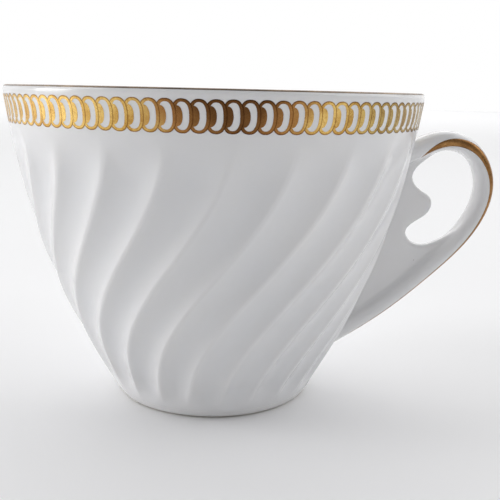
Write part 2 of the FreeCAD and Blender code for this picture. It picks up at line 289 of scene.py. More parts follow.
bowl = {
    "wallFootRadius": 22.5 * mm,
    "lowerPull": (29.8 * mm, 15.5 * mm),     # the wall is one Bezier curve: foot, two pulls, lip
    "upperPull": (39.3 * mm, 30.7 * mm),
    "rimWall": 1.7 * mm,
    "footWall": 4.2 * mm,
    "floorTop": 5.0 * mm,
    "flutes": 24,
    "fluteDepth": 1.1 * mm,
    "fluteTurn": math.radians(45.5),
    "fluteStart": math.radians(3.9),
    "fluteTop": 59.1 * mm,
    "fadeTop": 9.0 * mm,
    "fadeFoot": 6.0 * mm,
    "ridgeRound": 0.09,                      # share of half a flute that rounds over at a ridge
    "corner": 0.04 * mm,                     # tight loops each side of an edge keep it crisp
}
lipRound = bowl["rimWall"] / 2
springLine = cupHeight - lipRound

wallPoles = np.array([
    (bowl["wallFootRadius"], footTop), bowl["lowerPull"], bowl["upperPull"], (rimRadius, springLine)])


def bezier(poles, t):
    t = np.asarray(t, float)[:, None]
    return ((1 - t) ** 3 * poles[0] + 3 * (1 - t) ** 2 * t * poles[1]
            + 3 * (1 - t) * t ** 2 * poles[2] + t ** 3 * poles[3])


wallTable = bezier(wallPoles, np.linspace(0, 1, 801))
hollowPoles = np.array([
    (0.0, bowl["floorTop"]),
    (bowl["wallFootRadius"] - bowl["footWall"], bowl["floorTop"]),
    (bowl["lowerPull"][0] - bowl["footWall"], (bowl["floorTop"] + bowl["lowerPull"][1]) / 2),
    (bowl["upperPull"][0] - bowl["footWall"] + 1.0 * mm, bowl["upperPull"][1] + 1.5 * mm),
    (rimRadius - bowl["rimWall"], springLine)])


def hollowCurve(count):
    # cubic B-spline with one inner knot, the inside of the wall from the floor's middle to the lip
    knots = [0, 0, 0, 0, 0.45, 1, 1, 1, 1]
    points = []
    for u in np.linspace(0, 1, count):
        span = 3 if u < 0.45 else 4
        d = [hollowPoles[j + span - 3] for j in range(4)]
        for r in range(1, 4):
            for j in range(3, r - 1, -1):
                left = knots[j + span - 3]
                a = (u - left) / (knots[j + 1 + span - r] - left)
                d[j] = (1 - a) * d[j - 1] + a * d[j]
        points.append(d[3])
    return np.array(points)


def wallRadius(height):
    return np.interp(height, wallTable[:, 1], wallTable[:, 0])


def smooth01(value):
    value = np.clip(value, 0, 1)
    return value * value * (3 - 2 * value)


def fluteDepthAt(angle, height):
    # how far the fluted surface lies inside the ridges, at angles from -Y towards +X
    down = np.clip((bowl["fluteTop"] - height) / bowl["fluteTop"], 0, 1)
    turn = bowl["fluteTurn"] * (1 - np.cos(np.pi * down)) / 2
    share = (angle + turn - bowl["fluteStart"]) * bowl["flutes"] / (2 * np.pi)
    across = np.abs(2 * (share - np.floor(share)) - 1)
    top, soft = 1 - bowl["ridgeRound"], bowl["ridgeRound"]
    gap = np.clip(soft - np.abs(across - top), 0, None) / soft
    across = np.minimum(across, top) - gap ** 3 * soft / 6
    shape = 1 - (across / top) ** 2
    fade = (smooth01((bowl["fluteTop"] - height) / bowl["fadeTop"])
            * smooth01((height - footTop) / bowl["fadeFoot"]))
    return bowl["fluteDepth"] * shape * fade


def fluteTree():
    tree, wires, given, out = geometryTree("cutFlutes", [
        "Flutes", "Depth", "Turn", "Start", "Top", "Foot", "Top Fade", "Foot Fade", "Ridge Round"])
    m = wires.math
    x, y, z = wires.split(wires.position())
    radius = m("SQRT", m("ADD", m("MULTIPLY", x, x), m("MULTIPLY", y, y)))
    angle = m("ARCTAN2", x, m("MULTIPLY", y, -1.0))
    # the blank's columns start at the ridges, so the whole blank is wrung round with height
    down = m("DIVIDE", m("SUBTRACT", given["Top"], z), given["Top"])
    down = m("MINIMUM", m("MAXIMUM", down, 0.0), 1.0)
    swing = m("SUBTRACT", 1.0, m("COSINE", m("MULTIPLY", down, math.pi)))
    turn = m("MULTIPLY", m("MULTIPLY", swing, 0.5), given["Turn"])
    turned = m("SUBTRACT", angle, turn)
    share = m("MULTIPLY", m("SUBTRACT", angle, given["Start"]), m("DIVIDE", given["Flutes"], 2 * math.pi))
    across = m("ABSOLUTE", m("SUBTRACT", m("MULTIPLY", m("SUBTRACT", share, m("FLOOR", share)), 2.0), 1.0))
    top = m("SUBTRACT", 1.0, given["Ridge Round"])
    rounded = m("DIVIDE", m("SMOOTH_MIN", across, top, given["Ridge Round"]), top)
    shape = m("SUBTRACT", 1.0, m("MULTIPLY", rounded, rounded))
    comingIn = wires.smoothStep(z, m("SUBTRACT", given["Top"], given["Top Fade"]), given["Top"], 1.0, 0.0)
    goingOut = wires.smoothStep(z, given["Foot"], m("ADD", given["Foot"], given["Foot Fade"]))
    outside = wires.add("GeometryNodeInputNamedAttribute", {"Name": "outside"}, data_type="FLOAT")
    hollow = m("MULTIPLY", m("MULTIPLY", shape, outside.outputs["Attribute"]),
               m("MULTIPLY", comingIn, goingOut))
    newRadius = m("SUBTRACT", radius, m("MULTIPLY", hollow, given["Depth"]))
    pooled = wires.keep(given["Geometry"], "pooling", hollow)
    moved = wires.move(pooled, wires.aroundAxis(newRadius, turned, z))
    finishTree(wires, moved, given["Material"], out)
    return tree


def spinProfile(name, profile, angles, closed=False):
    # profile runs round the section; the faces point out if it runs up the outside
    rings, around = len(profile), len(angles)
    points, poles, index = [], {}, []
    for n, (radius, height) in enumerate(profile):
        if radius < 1e-7:
            poles[n] = len(points)
            points.append((0, 0, height))
            index.append(None)
            continue
        index.append(len(points))
        points += [(radius * math.sin(a), -radius * math.cos(a), height) for a in angles]
    faces = []
    for n in range(rings if closed else rings - 1):
        after = (n + 1) % rings
        for k in range(around):
            j = (k + 1) % around
            if index[n] is None:
                faces.append((poles[n], index[after] + j, index[after] + k))
            elif index[after] is None:
                faces.append((index[n] + k, index[n] + j, poles[after]))
            else:
                faces.append((index[n] + k, index[n] + j, index[after] + j, index[after] + k))
    return meshFrom(name, points, faces), index


def lipArc(radius, turns):
    centre = rimRadius - lipRound
    return [(centre + radius * math.cos(a), springLine + radius * math.sin(a)) for a in turns]


def ridgeAngles():
    # columns crowd towards the ridges
    half = np.array([0.0, 0.018, 0.038, 0.065, 0.105, 0.17, 0.26, 0.37])
    shares = np.concatenate([half, [0.5], 1 - half[:0:-1]])
    flute = 2 * np.pi / bowl["flutes"]
    return np.concatenate([bowl["fluteStart"] + flute * (n + shares) for n in range(bowl["flutes"])])


def makeBowl():
    fadedIn, fadeBegins = footTop + bowl["fadeFoot"], bowl["fluteTop"] - bowl["fadeTop"]
    wallHeights = np.concatenate([
        np.linspace(footTop, fadedIn, 18)[:-1],
        np.linspace(fadedIn, fadeBegins, 62)[:-1],
        np.linspace(fadeBegins, bowl["fluteTop"], 30)[:-1],
        np.linspace(bowl["fluteTop"], springLine, 10)])
    wall = [(float(wallRadius(z)), float(z)) for z in wallHeights]
    lip = lipArc(lipRound, np.linspace(0, math.pi, 13)[1:-1])
    inside = [tuple(p) for p in hollowCurve(46)[::-1]]
    inside[-1] = (0.0, bowl["floorTop"])
    corner = bowl["corner"]
    wall.insert(1, (float(wallRadius(footTop + corner)), footTop + corner))
    under = [(0.0, footTop)] + [(r, footTop) for r in np.linspace(3 * mm, bowl["wallFootRadius"], 8)[:-1]]
    under.append((bowl["wallFootRadius"] - corner, footTop))
    profile = under + wall + lip + inside
    mesh, rings = spinProfile("bowl", profile, ridgeAngles())
    outside = mesh.attributes.new("outside", "FLOAT", "POINT")
    values = np.zeros(len(mesh.vertices), np.float32)
    around = len(ridgeAngles())
    for n in range(len(under), len(under) + len(wall)):
        values[rings[n]:rings[n] + around] = 1.0
    outside.data.foreach_set("value", values)
    piece = newObject("bowl", mesh)
    applyTree(piece, fluteTree(), {
        "Flutes": float(bowl["flutes"]), "Depth": bowl["fluteDepth"], "Turn": bowl["fluteTurn"],
        "Start": bowl["fluteStart"], "Top": bowl["fluteTop"], "Foot": footTop,
        "Top Fade": bowl["fadeTop"], "Foot Fade": bowl["fadeFoot"],
        "Ridge Round": bowl["ridgeRound"], "Material": glazedPorcelain("bowlGlaze", "pooling")})
    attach(piece, "root")
    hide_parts("cup_bowl")
    print("bowl:", len(piece.data.polygons), "faces")


makeBowl()


foot = {
    "standing": 20.4 * mm,
    "width": 2.6 * mm,
    "draft": 0.8 * mm,
    "clay": (0.70, 0.67, 0.62),
    "dirt": (0.52, 0.47, 0.40),
    "gloss": 1.5,                 # index of refraction, as of the glaze
    "dirtSize": 190.0,            # noise scales
    "gritSize": 2200.0,
    "wobbleSize": 300.0,
    "glazeStarts": 0.35 * mm,     # height over the standing face where the glaze begins
    "glazeEdge": 0.12 * mm,       # and over which it gets to its full thickness
    "wobble": 0.3 * mm,           # how far that edge wanders
    "gritHeight": 0.03 * mm,
}


def footPorcelain(name):
    material, wires, shader, coords = newMaterial(name)
    wobble = wires.math("SUBTRACT", noise(wires, coords, foot["wobbleSize"], 3.0), 0.5)
    edge = wires.math("ADD", wires.split(coords)["Z"], wires.math("MULTIPLY", wobble, foot["wobble"]))
    glazed = wires.smoothStep(edge, foot["glazeStarts"], foot["glazeStarts"] + foot["glazeEdge"])
    grit = noise(wires, coords, foot["gritSize"], 3.0, 0.7)
    darkening = noise(wires, coords, foot["dirtSize"], 4.0, 0.6)
    dirty = wires.smoothStep(darkening, 0.5, 0.75, 0.0, 0.6)
    clay = mixColour(wires, "MIX", dirty, foot["clay"], foot["dirt"])
    rough = wires.add("ShaderNodeMix", data_type="FLOAT")
    matt = wires.smoothStep(grit, 0.3, 0.7, 0.62, 0.85)
    for n, value in ((0, glazed), (2, matt), (3, glaze["roughness"])):
        wires.put(rough.inputs[n], value)
    height = wires.math("MULTIPLY", grit, wires.math("SUBTRACT", 1.0, glazed))
    wires.fill(shader, {"Base Color": mixColour(wires, "MIX", glazed, clay, glaze["white"]),
                        "Roughness": rough.outputs[0], "IOR": foot["gloss"],
                        "Normal": bump(wires, height, foot["gritHeight"], 0.8)})
    return material


def makeFootRing():
    outer = bowl["wallFootRadius"]
    inner = foot["standing"] - foot["width"]
    innerTop = inner - foot["draft"]
    poles = np.array([(foot["standing"], 0.0), (foot["standing"] + 1.0 * mm, 0.0),
                      (outer - 0.75 * mm, footTop * 0.45), (outer, footTop)])
    skirt = [tuple(p) for p in bezier(poles, np.linspace(0, 1, 12))]
    innerPoles = np.array([(innerTop, footTop), (inner - 0.3 * mm, 0.7 * mm), (inner, 0.0),
                           (inner + 0.5 * mm, 0.0)])
    hollow = [tuple(p) for p in bezier(innerPoles, np.linspace(0, 1, 12))]
    flat = [(foot["standing"] - 0.7 * mm, 0.0)]
    corner = bowl["corner"]
    skirt[-1:] = [(outer, footTop - corner), (outer, footTop), (outer - corner, footTop)]
    hollow[:1] = [(innerTop + corner, footTop), (innerTop, footTop), (innerTop, footTop - corner)]
    angles = np.linspace(0, 2 * np.pi, 193)[:-1]
    mesh = spinProfile("footRing", hollow + flat + skirt, angles, closed=True)[0]
    piece = newObject("footRing", mesh)
    piece.data.materials.append(footPorcelain("footClay"))
    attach(piece, "root")
    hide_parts("foot_ring")
    print("foot ring:", len(mesh.polygons), "faces")


makeFootRing()


handle = {
    "foot": 12.6 * mm,            # heights where the strap's middle meets the wall
    "top": 53.4 * mm,
    "reach": 21.1 * mm,
    # share of the strap's path from its foot, half its thickness there in mm
    "halfThickness": [(0.0, 1.9), (0.35, 1.9), (0.55, 1.74), (0.68, 1.8), (0.84, 2.2), (1.0, 2.2)],
    "halfWidthTop": 4.2 * mm,
    "halfWidthLow": 3.3 * mm,
    "roundness": 2.3,             # 2 is an ellipse, more is boxier
    "webHalf": 1.3 * mm,
    "webEdgeRound": 1.1 * mm,
    "webFillet": 0.8 * mm,
    "seamFillet": 1.5 * mm,
    "bury": 0.6 * mm,             # how far the casting goes into the wall
    "seamSkin": 0.03 * mm,        # thickness of the slip where it runs out
    "seamReach": 1.6 * mm,        # how far the slip comes out over handle and wall
    "step": 0.36 * mm,            # cell size that the surface is drawn with
    # middle of the strap as (rise, reach) between its two ends, as in the design
    "route": [
        (-0.09, -0.19), (0.157, 0.372), (0.385, 0.732), (0.583, 0.958), (0.831, 0.97),
        (0.941, 0.85), (1.027, 0.67), (1.074, 0.388), (1.02, 0.08), (0.92, -0.22)],
    "webEdge": [
        (1.07, 0.36), (0.98, 0.26), (0.934, 0.187), (0.877, 0.171), (0.804, 0.312), (0.76, 0.452),
        (0.733, 0.487), (0.669, 0.477), (0.625, 0.383), (0.569, 0.335), (0.522, 0.416),
        (0.5, 0.575), (0.559, 0.822), (0.6, 0.97)],
}


def spot(rise, reach):
    low = np.array([float(wallRadius(handle["foot"])), handle["foot"]])
    high = np.array([float(wallRadius(handle["top"])), handle["top"]])
    return low + (high - low) * rise + np.array([handle["reach"] * reach, 0.0])


def splineThrough(points, count):
    # natural cubic spline through the points, spaced by chord length
    points = np.array(points)
    knots = np.concatenate([[0], np.cumsum(np.linalg.norm(np.diff(points, axis=0), axis=1))])
    n = len(points)
    gaps = np.diff(knots)
    left = np.zeros((n, n))
    right = np.zeros(points.shape)
    left[0, 0] = left[-1, -1] = 1
    for i in range(1, n - 1):
        left[i, i - 1:i + 2] = gaps[i - 1], 2 * (gaps[i - 1] + gaps[i]), gaps[i]
        right[i] = 6 * ((points[i + 1] - points[i]) / gaps[i]
                        - (points[i] - points[i - 1]) / gaps[i - 1])
    bend = np.linalg.solve(left, right)
    at = np.linspace(0, knots[-1], count)
    k = np.clip(np.searchsorted(knots, at, side="right") - 1, 0, n - 2)
    a = ((knots[k + 1] - at) / gaps[k])[:, None]
    b = ((at - knots[k]) / gaps[k])[:, None]
    g = gaps[k][:, None]
    bowed = ((a ** 3 - a) * bend[k] + (b ** 3 - b) * bend[k + 1]) * g * g / 6
    return a * points[k] + b * points[k + 1] + bowed


pathCount = 801
path = splineThrough([spot(*p) for p in handle["route"]], pathCount)
along = np.gradient(path, axis=0)
spacing = float(np.linalg.norm(along, axis=1).mean())
along /= np.linalg.norm(along, axis=1)[:, None]
outwards = np.stack([along[:, 1], -along[:, 0]], axis=1)
edgeLine = splineThrough([spot(*p) for p in handle["webEdge"]], 160)
opening = np.concatenate([edgeLine, [spot(*p) for p in handle["route"][4:8]]])


def halfThickness(share):
    # eased steps between the stations
    shares, values = np.array(handle["halfThickness"]).T
    low = np.clip(np.searchsorted(shares, share, side="right") - 1, 0, len(shares) - 2)
    part = smooth01((share - shares[low]) / (shares[low + 1] - shares[low]))
    return (values[low] * (1 - part) + values[low + 1] * part) * mm


def halfWidth(share):
    return handle["halfWidthLow"] * (1 - share) + handle["halfWidthTop"] * share


def smoothMin(a, b, reach):
    gap = np.clip(reach - np.abs(a - b), 0, None) / reach
    return np.minimum(a, b) - gap * gap * reach / 4


def smoothMax(a, b, reach):
    return -smoothMin(-a, -b, reach)


def polygonDistance(points, corners):
    # distance to a closed outline, negative inside
    best = np.full(len(points), 1e9)
    inside = np.zeros(len(points), bool)
    for a, b in zip(corners, np.roll(corners, -1, axis=0)):
        edge = b - a
        length = max(float(edge @ edge), 1e-18)
        t = np.clip(((points - a) @ edge) / length, 0, 1)
        best = np.minimum(best, np.linalg.norm(points - a - t[:, None] * edge, axis=1))
        if a[1] != b[1]:
            crosses = (a[1] > points[:, 1]) != (b[1] > points[:, 1])
            inside ^= crosses & (points[:, 0] < edge[0] * (points[:, 1] - a[1]) / edge[1] + a[0])
    return np.where(inside, -best, best)


def alongPath(table, place):
    # rows of a table between its whole numbers
    low = np.clip(place.astype(int), 0, pathCount - 2)
    part = (place - low)[..., None]
    return table[low] * (1 - part) + table[low + 1] * part


def strapPlace(flat):
    # for points in the handle's own plane: share of the path, and distance out of the strap's back
    rough = path[::5]
    place = np.empty(len(flat))
    for start in range(0, len(flat), 4000):
        some = flat[start:start + 4000]
        gaps = ((some[:, None, :] - rough[None, :, :]) ** 2).sum(2)
        place[start:start + 4000] = np.argmin(gaps, axis=1) * 5.0
    for n in range(3):
        gap = flat - alongPath(path, place)
        place = place + (gap * alongPath(along, place)).sum(1) / spacing
        place = np.clip(place, 0, pathCount - 1)
    gap = flat - alongPath(path, place)
    return place / (pathCount - 1), (gap * alongPath(outwards, place)).sum(1)


def bowlDistance(x, y, z):
    angle = np.arctan2(x, -y)
    return (np.hypot(x, y) - wallRadius(z) + fluteDepthAt(angle, z)) * 0.9


def castingField(x, y, z, flat=None):
    # negative inside the handle: a rounded strap, a flat web with an opening, blended together
    share, out, hole = flat if flat is not None else flatFields(x, z)
    p = handle["roundness"]
    thick, wide = halfThickness(share), halfWidth(share)
    a = np.maximum(np.abs(out) / thick, 1e-4)
    b = np.maximum(np.abs(y) / wide, 1e-4)
    q = (a ** p + b ** p) ** (1 / p)
    steepness = q ** (1 - p) * np.sqrt((a ** (p - 1) / thick) ** 2 + (b ** (p - 1) / wide) ** 2)
    strap = (q - 1) / steepness
    web = smoothMax(np.abs(y) - handle["webHalf"], np.maximum(out, -hole), handle["webEdgeRound"])
    return smoothMin(strap, web, handle["webFillet"])


def flatFields(x, z):
    flat = np.stack([x.ravel(), z.ravel()], axis=1)
    share, out = strapPlace(flat)
    hole = polygonDistance(flat, opening)
    return share.reshape(x.shape), out.reshape(x.shape), hole.reshape(x.shape)


def handleField(x, y, z, flat=None):
    return np.maximum(castingField(x, y, z, flat), -(bowlDistance(x, y, z) + handle["bury"]))


def seamField(x, y, z, flat=None):
    # the slip: what a soft blend of handle and wall adds in the corner between them
    casting = castingField(x, y, z, flat)
    wall = bowlDistance(x, y, z)
    skin, reach = handle["seamSkin"], handle["seamReach"]
    blend = smoothMin(casting + skin, wall + skin, handle["seamFillet"])
    limit = np.maximum(casting - reach, np.maximum(wall - reach, -(wall + 0.5 * mm)))
    return np.maximum(blend, np.maximum(limit, -(casting + 0.7 * mm)))


def surfaceNet(name, field, low, high, step):
    # turns the zero surface of a field into quads, one point in each cell that it crosses
    counts = [int(math.ceil((h - l) / step)) + 1 for l, h in zip(low, high)]
    axes = [l + step * np.arange(n) for l, n in zip(low, counts)]
    gx, gz = np.meshgrid(axes[0], axes[2], indexing="ij")
    flat = [f[:, None, :] for f in flatFields(gx, gz)]
    x, y, z = np.meshgrid(*axes, indexing="ij", sparse=True)
    value = field(x, y, z, flat)
    value = np.where(value == 0, 1e-12, value)
    total = np.zeros([n - 1 for n in counts] + [3])
    hits = np.zeros([n - 1 for n in counts])
    corner = np.array(low)
    crossings = []
    for axis in range(3):
        first = value.take(range(counts[axis] - 1), axis)
        second = value.take(range(1, counts[axis]), axis)
        crossed = (first < 0) != (second < 0)
        at = np.argwhere(crossed)
        share = first[crossed] / (first[crossed] - second[crossed])
        point = corner + at * step
        point[:, axis] += share * step
        crossings.append((at, first[crossed] < 0))
        others = [a for a in range(3) if a != axis]
        for da in (0, 1):
            for db in (0, 1):
                cell = at.copy()
                cell[:, others[0]] -= da
                cell[:, others[1]] -= db
                good = np.all((cell >= 0) & (cell < np.array(total.shape[:3])), axis=1)
                where = tuple(cell[good].T)
                np.add.at(total, where, point[good])
                np.add.at(hits, where, 1)
    used = hits > 0
    number = np.full(used.shape, -1)
    number[used] = np.arange(used.sum())
    points = total[used] / hits[used][:, None]
    faces = []
    for axis, (at, startsInside) in enumerate(crossings):
        b, c = (axis + 1) % 3, (axis + 2) % 3
        cells = []
        for db, dc in ((1, 1), (0, 1), (0, 0), (1, 0)):
            cell = at.copy()
            cell[:, b] -= db
            cell[:, c] -= dc
            cells.append(number[tuple(cell.T)])
        quads = np.stack(cells, axis=1)
        quads[~startsInside] = quads[~startsInside][:, ::-1]
        faces.append(quads)
    points = settle(field, points)
    return meshFrom(name, points, np.concatenate(faces))


def slope(field, points, reach=0.02 * mm):
    parts = []
    for axis in range(3):
        shift = np.zeros(3)
        shift[axis] = reach
        up, down = points + shift, points - shift
        parts.append((field(*up.T) - field(*down.T)) / (2 * reach))
    return np.stack(parts, axis=1)


def settle(field, points, rounds=3):
    # walks each point onto the surface along the field's slope
    for n in range(rounds):
        value = field(*points.T)
        direction = slope(field, points)
        size = np.clip((direction ** 2).sum(1), 0.2, None)
        move = -(value / size)[:, None] * direction
        length = np.linalg.norm(move, axis=1)[:, None]
        points = points + move * np.minimum(1, 0.2 * mm / np.maximum(length, 1e-12))
    return points


def makeHandle():
    side = handle["halfWidthTop"] + 2.5 * mm
    low = (handleLow.x - 4 * mm, -side, handleLow.z - 4 * mm)
    high = (handleHigh.x + 1 * mm, side, handleHigh.z + 3 * mm)
    piece = newObject("handle", surfaceNet("handle", handleField, low, high, handle["step"]))
    piece.data.materials.append(glazedPorcelain("handleGlaze"))
    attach(piece, "root")
    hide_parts("cup_handle")
    print("handle:", len(piece.data.polygons), "faces")
    seam = newObject("handleSeam", surfaceNet("handleSeam", seamField, low, high, handle["step"]))
    seam.data.materials.append(glazedPorcelain("seamGlaze"))
    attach(seam, "root")
    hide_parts("handle_luting_seam")
    print("seam:", len(seam.data.polygons), "faces")


makeHandle()


handleLine = {
    # share of the strap's path, angle round the strap from its back, width of the stroke
    "stations": [
        (0.10, 46, 0.15), (0.16, 46, 0.5), (0.40, 50, 0.9), (0.50, 54, 1.3), (0.58, 58, 1.6),
        (0.65, 64, 1.7), (0.70, 72, 1.75), (0.76, 84, 1.75), (0.82, 98, 1.6), (0.865, 115, 1.1),
        (0.895, 136, 0.1)],
    # painted shade: both colours are darkened far below the gold's own, to the brown of the line in shade
    "bright": (0.40, 0.215, 0.08),
    "deep": (0.23, 0.115, 0.042),
    "roughness": 0.28,
    "lift": 0.035 * mm,
    "rows": 170,
    "columns": 7,
}


def makeHandleLine():
    stations = np.array(handleLine["stations"], float)
    rows, columns = handleLine["rows"], handleLine["columns"]
    shares = np.linspace(stations[0, 0], stations[-1, 0], rows)
    smoothed = splineThrough(stations * np.array([100, 1, 1]), 400)
    angle = np.radians(np.interp(shares * 100, smoothed[:, 0], smoothed[:, 1]))
    width = np.interp(shares * 100, smoothed[:, 0], smoothed[:, 2]) * mm
    width = np.clip(width, 0.02 * mm, None)
    p = handle["roundness"]
    place = shares * (pathCount - 1)
    spine, out = alongPath(path, place), alongPath(outwards, place)
    wide, thick = halfWidth(shares), halfThickness(shares)
    local = np.sqrt((thick * np.sin(angle)) ** 2 + (wide * np.cos(angle)) ** 2)
    points, faces = [], []
    for side in (1, -1):
        grid = []
        for column in range(columns):
            offset = (column / (columns - 1) - 0.5) * width
            a = angle + offset / local
            rho = (np.abs(np.cos(a)) ** p + np.abs(np.sin(a)) ** p) ** (-1 / p)
            n = thick * rho * np.cos(a)
            y = wide * rho * np.sin(a) * side
            grid.append(np.stack([spine[:, 0] + out[:, 0] * n, y, spine[:, 1] + out[:, 1] * n], axis=1))
        grid = np.stack(grid, axis=1).reshape(-1, 3)
        grid = settle(handleField, grid, 4)
        normal = slope(handleField, grid)
        normal /= np.linalg.norm(normal, axis=1)[:, None]
        crown = 1 - (np.tile(np.arange(columns), rows) / (columns - 1) * 2 - 1) ** 4
        base = len(points)
        points += list(grid + normal * (handleLine["lift"] * (0.35 + 0.65 * crown))[:, None])
        points += list(grid - normal * handleLine["lift"])
        under = base + rows * columns
        order = 1 if side > 0 else -1

        def quad(*corners):
            faces.append(corners[::order])

        for i in range(rows - 1):
            for j in range(columns - 1):
                a, b = i * columns + j, (i + 1) * columns + j
                quad(base + a, base + a + 1, base + b + 1, base + b)
                quad(under + a, under + b, under + b + 1, under + a + 1)
            a, b = i * columns, (i + 1) * columns
            quad(base + a, base + b, under + b, under + a)
            a, b = a + columns - 1, b + columns - 1
            quad(base + b, base + a, under + a, under + b)
        for i, flip in ((0, 1), (rows - 1, -1)):
            for j in range(columns - 1):
                a = i * columns + j
                quad(*(base + a, under + a, under + a + 1, base + a + 1)[::flip])
    piece = newObject("handleLine", meshFrom("handleLine", points, faces))
    piece.data.materials.append(burnishedGold("handleGold", handleLine))
    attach(piece, "root")
    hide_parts("gold_handle_line")
    print("handle line:", len(faces), "faces")


makeHandleLine()


rimLine = {
    "bright": (0.24, 0.17, 0.11),     # thin; both colours darkened as painted dark reflection
    "deep": (0.13, 0.10, 0.075),
    "roughness": 0.32,
    "lift": 0.03 * mm,
    "down": 0.26 * mm,                # how far the line comes down each side of the lip
}


def makeRimLine():
    start = math.asin((lipRound - rimLine["down"]) / lipRound)
    turns = np.linspace(start, math.pi - start, 15)
    outer = lipArc(lipRound + rimLine["lift"], turns)
    inner = lipArc(lipRound - rimLine["lift"], turns[::-1])
    angles = np.linspace(0, 2 * np.pi, 385)[:-1]
    mesh = spinProfile("rimLine", outer + inner, angles, closed=True)[0]
    piece = newObject("rimLine", mesh)
    piece.data.materials.append(burnishedGold("rimGold", rimLine))
    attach(piece, "root")
    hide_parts("gold_rim_line")
    print("rim line:", len(mesh.polygons), "faces")


makeRimLine()


border = {
    "rings": 100,
    "ringWidth": 1.32,             # a ring's width over the pitch, so that they overlap
    "squareness": 2.4,             # 2 would make the rings ellipses
    "windowWidth": 0.43,           # half sizes of the white window, over the pitch and half height
    "windowHeight": 0.81,
    "discWidth": 0.37,             # the filled disc that bites into the window from the left
    "discHeight": 0.60,
    "discShift": -0.33,
    "lift": 0.03 * mm,
    "wander": 0.16 * mm,           # the transfer was laid by hand
    "waverSize": 420.0,            # noise scale of that wander
    "seed": 4.0,
    "dimReflection": (0.34, 0.155, 0.05),     # painted dark reflection: the gold is coloured brown across the front and the back
    "darkening": (0.115, 0.05, 0.017),       # and darkest in the middle of that stretch, also painted reflection
    "handleSideReflection": (0.50, 0.52, 0.54),         # and darkened on the handle's side, also painted reflection
    "dimReflectionZone": (0.915, 0.972),        # where each begins and is full, as shares of the radius
    "darkestReflectionZone": (0.962, 0.992),
    "handleSideReflectionZone": (0.42, 0.70),
    "darkReflectionTurn": math.radians(3.0),      # how far that stretch lies round towards the handle
    "reflectionStrength": 0.95,
    "outline": (0.36, 0.26, 0.19),        # the fine dark outline printed round each ring
    "outlineStrength": 0.8,
    "outlineAt": 0.95,                    # its place, 1 being the ring's very edge
    "outlineWidth": (0.05, 0.15),
}
ringPitch = 2 * math.pi * rimRadius / border["rings"]
ringHalfHeight = (borderHigh.z - borderLow.z) / 2 - 0.06 * mm


def ringOutlines(wires):
    # a ring's own outline and its left neighbour's
    m = wires.math
    x, y, z = wires.split(wires.add("ShaderNodeAttribute", attribute_name="ringPlace").outputs["Vector"])
    upright = m("POWER", m("ABSOLUTE", m("DIVIDE", y, ringHalfHeight)), border["squareness"])
    lines = []
    for shift in (0.0, ringPitch):
        sideways = m("DIVIDE", m("ADD", x, shift), ringPitch * border["ringWidth"] / 2)
        reach = m("ADD", m("POWER", m("ABSOLUTE", sideways), border["squareness"]), upright)
        off = m("ABSOLUTE", m("SUBTRACT", reach, border["outlineAt"]))
        lines.append(wires.smoothStep(off, *border["outlineWidth"], 1.0, 0.0))
    return m("MAXIMUM", *lines)


def borderReflectionAndOutlines(wires, coords, patches, colour):
    # painted reflection: the gold is darkened across the front, the back and the handle's side; the printed
    # ring outlines go on last
    m = wires.math
    x, y, z = wires.split(coords)
    turn, strength = border["darkReflectionTurn"], border["reflectionStrength"]
    facing = m("SUBTRACT", m("MULTIPLY", x, math.sin(turn) / rimRadius),
               m("MULTIPLY", y, math.cos(turn) / rimRadius))
    ragged = m("ADD", m("ABSOLUTE", facing), m("MULTIPLY", m("SUBTRACT", patches, 0.5), 0.03))
    beside = m("DIVIDE", x, rimRadius)
    for blend, where, zone, shade in (("MIX", ragged, "dimReflectionZone", "dimReflection"),
                                      ("MIX", ragged, "darkestReflectionZone", "darkening"),
                                      ("MULTIPLY", beside, "handleSideReflectionZone", "handleSideReflection")):
        amount = wires.smoothStep(where, *border[zone], 0.0, strength)
        colour = mixColour(wires, blend, amount, colour, border[shade])
    lines = m("MULTIPLY", ringOutlines(wires), border["outlineStrength"])
    return mixColour(wires, "MULTIPLY", lines, colour, border["outline"])


def archHeight(x, halfWide, halfTall, power):
    return halfTall * max(0.0, 1 - abs(x / halfWide) ** power) ** (1 / power)


